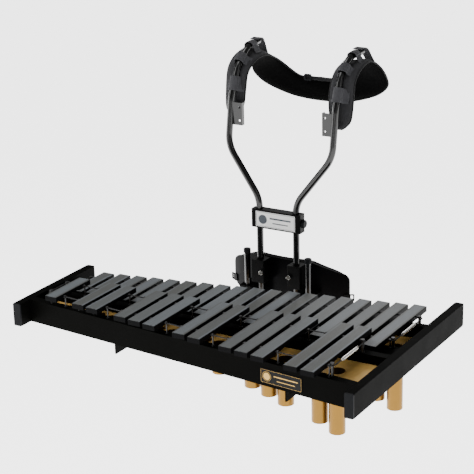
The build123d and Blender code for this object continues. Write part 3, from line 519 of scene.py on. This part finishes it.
# Loops: grey webbing sewn to the pad on both sides of each shoulder tube and passing over it.
# Three on each side, and a strap from the tube's end down to the pad behind the shoulder.
def strap(name, path, side_dirs, width, thickness, material):
    """Webbing along a path: a flat section with round edges, as wide along its side directions.
    The section's two faces stand half the thickness off the path."""
    path = np.asarray(path, float)
    along = np.gradient(path, axis=0)
    along /= np.linalg.norm(along, axis=1)[:, None]
    side = np.broadcast_to(np.asarray(side_dirs, float), path.shape)
    side = side - along * np.sum(side * along, axis=1)[:, None]
    side = side / np.linalg.norm(side, axis=1)[:, None]
    out = np.cross(side, along)
    half = width / 2 - thickness / 2
    section = np.concatenate([
        np.stack([np.linspace(-half, half, 9), np.full(9, thickness / 2)], axis=1),
        np.stack([half + thickness / 2 * np.cos(np.linspace(1.2, -1.2, 5)),
                  thickness / 2 * np.sin(np.linspace(1.2, -1.2, 5))], axis=1),
        np.stack([np.linspace(half, -half, 9), np.full(9, -thickness / 2)], axis=1),
        np.stack([-half - thickness / 2 * np.cos(np.linspace(1.2, -1.2, 5)),
                  -thickness / 2 * np.sin(np.linspace(1.2, -1.2, 5))], axis=1)])
    points = (path[:, None, :] + section[None, :, :1] * side[:, None, :]
              + section[None, :, 1:] * out[:, None, :])
    ends = [np.repeat(path[k:k + 1 or None, None, :], len(section), 1) for k in (0, -1)]
    step = np.linalg.norm(np.diff(path, axis=0), axis=1).mean()
    made = surface(name, np.concatenate([ends[0], points, ends[1]]), False, True, (step, width / 9))
    made.data.materials.append(material)
    return made


# Each loop: its place along Y and Z in millimetres, the tube's direction there, how far the feet drop
# in millimetres, and its width in metres. The strap's route is in millimetres.
loops = (
    (13.5, 487, 0.36, 0.93, 13, 0.036),
    (46, 545, 0.78, 0.62, 15, 0.026),
    (100, 568.5, 0.995, 0.06, 17, 0.024),
)
tube_x = 146
end_route = [(146, 116, 580), (147, 138, 580.5), (149, 152, 573), (151, 164, 556), (154, 178, 536),
             (155, 190, 516)]
webbing_thickness = 0.0018
for word, side in (("left", -1), ("right", 1)):
    for number, (y, z, ay, az, drop, width) in enumerate(loops):
        along = np.array((0, ay, az))
        along = along / np.linalg.norm(along)
        out = np.cross((1, 0, 0), along)
        hub = np.array((side * tube_x, y, z)) / 1000
        angle = np.linspace(-0.2, math.pi + 0.2, 21)
        over = np.stack([0.0125 * np.cos(angle), 0.0102 * np.sin(angle)], axis=1)
        foot = np.array([(0.0255, 0.0016 - drop / 1000), (0.0205, 0.0026 - drop / 1000),
                         (0.0155, -0.0075)])
        profile = smooth_through(np.concatenate([foot, over, foot[::-1] * (-1, 1)]), 90)
        path = hub + profile[:, :1] * np.array((1, 0, 0)) + profile[:, 1:] * out
        piece = strap(f"{word}_pad_loop_{number + 1}", path, along, width, webbing_thickness, webbing)
        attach(piece, "shoulder_frame")
        if number == 0 and side < 0:
            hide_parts("pad_loops")
    path = smooth_through(np.array(end_route) * (side, 1, 1) / 1000, 60)
    piece = strap(f"{word}_top_strap", path, (1, 0, 0), 0.024, webbing_thickness, webbing)
    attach(piece, "shoulder_frame")

# Neck strap: a narrower webbing sewn along the yoke's upper edge behind the neck.
# A moulded slide buckle sits near its left end.
neck_route = [(-46, 196, 475), (-24, 198.5, 474), (0, 199.5, 473.5), (24, 198.5, 474), (46, 196, 475)]
path = smooth_through(np.array(neck_route) / 1000, 60)
neck_strap = strap("neck_strap", path, (0, 0.1, 1), 0.010, 0.0016, edge_binding)
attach(neck_strap, "shoulder_frame")
buckle_place = (-0.034, 0.1965, 0.4755)
buckle = raised_shape("neck_strap_buckle", box_outline(0.010, 0.0085, 0.003), buckle_place, (1, 0, 0),
                      (0, 0, 1), 0.0035, cap_plastic, hole=box_outline(0.0065, 0.005, 0.002))
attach(buckle, "shoulder_frame")

# Belly pad: closed-cell foam glued inside the plate, a little taller than it.
# Its face follows the plate's curve, and its rim is rounded off all round.
foam = plain_finish("black_closed_cell_foam", "#0b0b0c", 0.8, grain_mm=1.6, height_mm=0.12, specular=0.3)
shares = np.concatenate([np.linspace(0, 0.9, 20), 0.9 + 0.1 * np.sin(np.linspace(0, math.pi / 2, 9)[1:])])
liner_edge = np.array([(0, 54.5), (40, 54.5), (78, 53.5), (112, 42), (148, 28), (164, 17), (171, 2),
                       (171.5, -20), (169, -42), (158, -57), (138, -62.5), (80, -63), (0, -63)]) / 1000
half_way = smooth_through(liner_edge, 90)
rounded = np.concatenate([half_way, half_way[-2:0:-1] * (-1, 1)])[::-1]
plate_radius = 0.330
plate_front = -0.014
plate_wall = 0.004
liner_offset = 0.0052
liner_centre_radius = 0.326
# shares runs from 0 at the liner's middle to 1 at its rim. Half the thickness is full up to the rim's
# start, then falls along a quarter circle to nothing.
rim_start = 0.93
liner_half_thickness = 0.0055
rim_run = 0.07
rim_fall = np.sqrt(np.clip(1 - ((shares - rim_start) / rim_run) ** 2, 0, 1))
half_thick = liner_half_thickness * np.where(shares < rim_start, 1.0, rim_fall)
faces = []
for sign in (1, -1):
    flat = rounded[None, :, :] * shares[:, None, None]
    radius = plate_radius - plate_wall - liner_offset - sign * half_thick[:, None]
    angle = flat[:, :, 0] / liner_centre_radius
    faces.append(np.stack([radius * np.sin(angle), plate_front + plate_radius - radius * np.cos(angle),
                           flat[:, :, 1]], axis=2))
liner = surface("belly_liner", np.concatenate([faces[0], faces[1][-2::-1]]), False, True, (0.005, 0.004))
liner.data.materials.append(foam)
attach(liner, "carrier")
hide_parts("belly_pad")

# Floor: pale and even, a metre below, where the player would stand. It reaches far behind the object,
# so that low views don't see past its edge, and glows a little, like a lit white table.
floor_side = 120.0
floor_height = -1.02
floor_glow = 3.4
bpy.ops.mesh.primitive_plane_add(size=floor_side, location=(0, 0, floor_height))
floor = bpy.context.object
floor.name = "floor"
floor_paint = plain_finish("pale_floor", "#f7f7f7", 0.7, height_mm=0.0)
floor_shader = floor_paint.node_tree.nodes["Principled BSDF"]
floor_shader.inputs["Emission Color"].default_value = (1, 1, 1, 1)
floor_shader.inputs["Emission Strength"].default_value = floor_glow
floor.data.materials.append(floor_paint)
